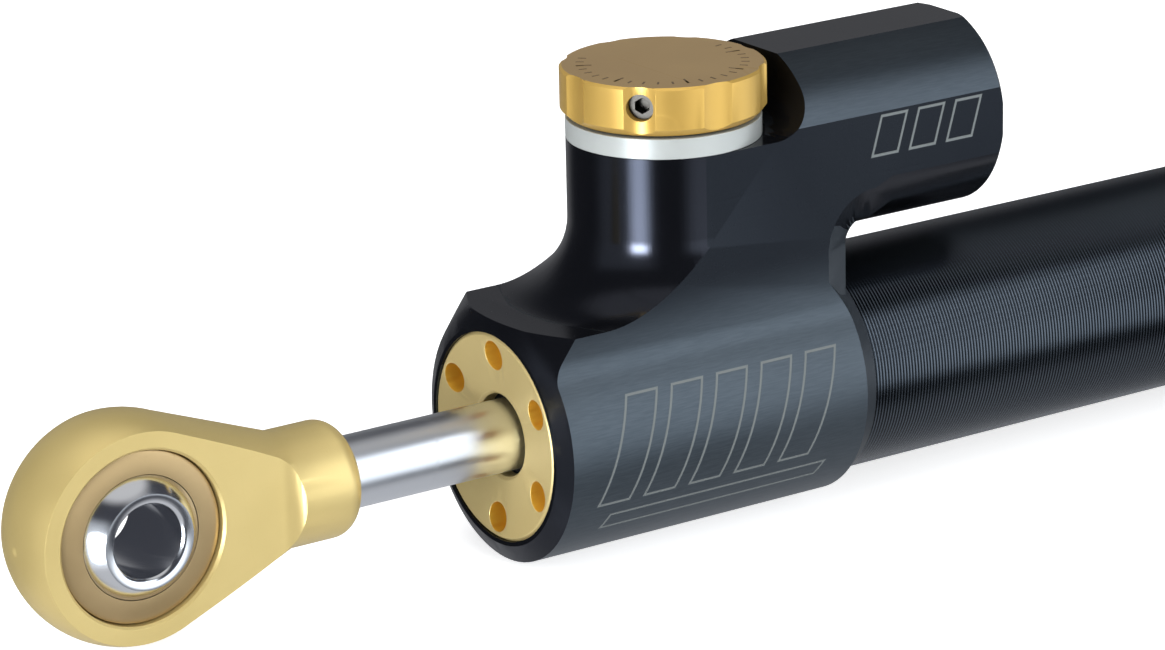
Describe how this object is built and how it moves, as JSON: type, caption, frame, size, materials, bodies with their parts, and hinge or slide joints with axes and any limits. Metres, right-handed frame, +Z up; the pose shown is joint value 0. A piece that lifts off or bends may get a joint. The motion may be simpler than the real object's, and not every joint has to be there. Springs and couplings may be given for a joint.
{
  "type": "motorcycle steering damper",
  "caption": "Linear hydraulic steering damper with a through rod, ball-jointed rod end, machined valve housing, click adjuster knob and compensating reservoir.",
  "frame": {"origin": "centre of the ball in the rod end, with the rod drawn 16 mm out of its innermost place", "axes": "+X along the rod from the rod end to the tube, +Y along the ball's bore, +Z up through the adjuster knob"},
  "size_m": [0.2367, 0.0284, 0.0526],
  "materials": {
    "gold_satin": "satin gold anodised, milled flats",
    "gold_anodised": "turned and gold anodised",
    "gold_knob": "bright gold anodised",
    "bronze": "machined bronze",
    "bright_chrome": "polished",
    "hard_chrome": "ground and polished along its length",
    "bare_aluminium": "machined",
    "clear_anodised": "turned, clear anodised",
    "black_anodised": "machined and black anodised, part gloss, part brushed",
    "black_tube": "black anodised, with fine turning grooves",
    "rubber": "matt",
    "ivory_plastic": "matt",
    "steel": "ground",
    "black_steel": "black oxide",
    "spring_steel": "oiled"
  },
  "bodies": {
    "casing": {"front_gland": "gold_anodised", "rear_gland": "gold_anodised", "front_wiper": "rubber", "rear_wiper": "rubber", "front_rod_seal": "rubber", "rear_rod_seal": "rubber", "front_rod_bush": "bronze", "rear_rod_bush": "bronze", "front_gland_o_ring": "rubber", "rear_gland_o_ring": "rubber", "valve_housing": "black_anodised", "damper_tube": "black_tube", "inner_cylinder": "bare_aluminium", "tube_o_ring": "rubber", "cylinder_o_ring": "rubber", "click_ring": "clear_anodised", "stop_pin": "steel", "adjuster_cartridge": "bare_aluminium", "cartridge_o_ring": "rubber", "spindle_o_ring": "rubber", "reservoir_spring": "spring_steel", "reservoir_cap": "black_anodised", "reservoir_cap_o_ring": "rubber", "reservoir_circlip": "spring_steel"},
    "guide": {"piston_guide_ring": "ivory_plastic"},
    "rod": {"piston_rod": "hard_chrome", "piston": "bare_aluminium", "piston_o_ring": "rubber", "piston_circlips": "spring_steel", "rod_end": "gold_satin", "bearing_race": "bronze"},
    "ball": {"bearing_ball": "bright_chrome"},
    "knob": {"adjuster_knob": "gold_knob", "knob_grub_screw": "black_steel", "adjuster_spindle": "steel", "detent_ball": "bright_chrome", "detent_spring": "spring_steel"},
    "needle": {"metering_needle": "steel"},
    "compensator": {"floating_piston": "bare_aluminium", "floating_piston_o_ring": "rubber"}
  },
  "joints": [
    {"name": "rod_slide", "type": "slide", "parent": "casing", "child": "guide", "axis": [-1, 0, 0], "range_m": [-0.016, 0.059]},
    {"name": "rod_spin", "type": "hinge", "parent": "guide", "child": "rod", "pos_m": [0.1257, 0, 0], "axis": [1, 0, 0], "continuous": true},
    {"name": "ball_turn", "type": "hinge", "parent": "rod", "child": "ball", "pos_m": [0, 0, 0], "axis": [0, 1, 0], "continuous": true},
    {"name": "knob_turn", "type": "hinge", "parent": "casing", "child": "knob", "pos_m": [0.0694, 0, 0.0356], "axis": [0, 0, 1], "range_deg": [-150, 150]},
    {"name": "needle_lift", "type": "slide", "parent": "casing", "child": "needle", "axis": [0, 0, 1], "range_m": [-0.00105, 0.00105]},
    {"name": "compensator_slide", "type": "slide", "parent": "casing", "child": "compensator", "axis": [1, 0, 0], "range_m": [-0.004, 0.003], "stiffness_N_per_m": 4000, "deforming": ["reservoir_spring"]}
  ],
  "couplings": [
    {"joint": "needle_lift", "follows": "knob_turn", "m_per_rad": 0.00039789}
  ]
}
